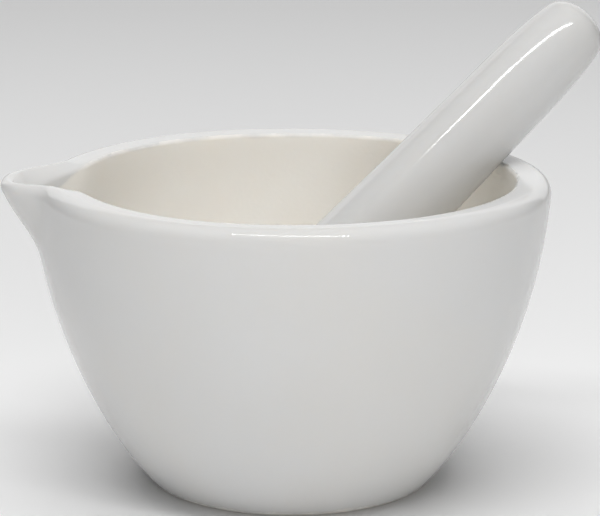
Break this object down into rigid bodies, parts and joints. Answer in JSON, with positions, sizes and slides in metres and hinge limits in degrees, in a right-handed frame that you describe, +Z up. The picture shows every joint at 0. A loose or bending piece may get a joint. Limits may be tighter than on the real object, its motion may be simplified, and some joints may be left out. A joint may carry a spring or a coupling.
{
  "type": "mortar and pestle",
  "caption": "White porcelain laboratory mortar with a pouring lip, glazed outside and bare inside, and a pestle leaning in it.",
  "frame": {"origin": "centre of the mortar's flat base, on the surface it stands on", "axes": "+Z up along the bowl's axis; the pouring lip points along -X; the pestle leans towards +X and a little +Y"},
  "size_m": [0.152, 0.13, 0.1182],
  "materials": {
    "mortar_porcelain": "glossy white glaze outside and over the rim, bare cream-white ground surface inside, bare foot",
    "pestle_porcelain": "glossy white glaze on the handle, bare matt grinding head"
  },
  "bodies": {
    "mortar": {"mortar": "mortar_porcelain"},
    "pestle": {"pestle": "pestle_porcelain"}
  },
  "joints": [
    {"name": "pestle_lift", "type": "slide", "parent": "mortar", "child": "pestle", "axis": [0, 0, 1], "range_m": [0, 0.08]}
  ]
}
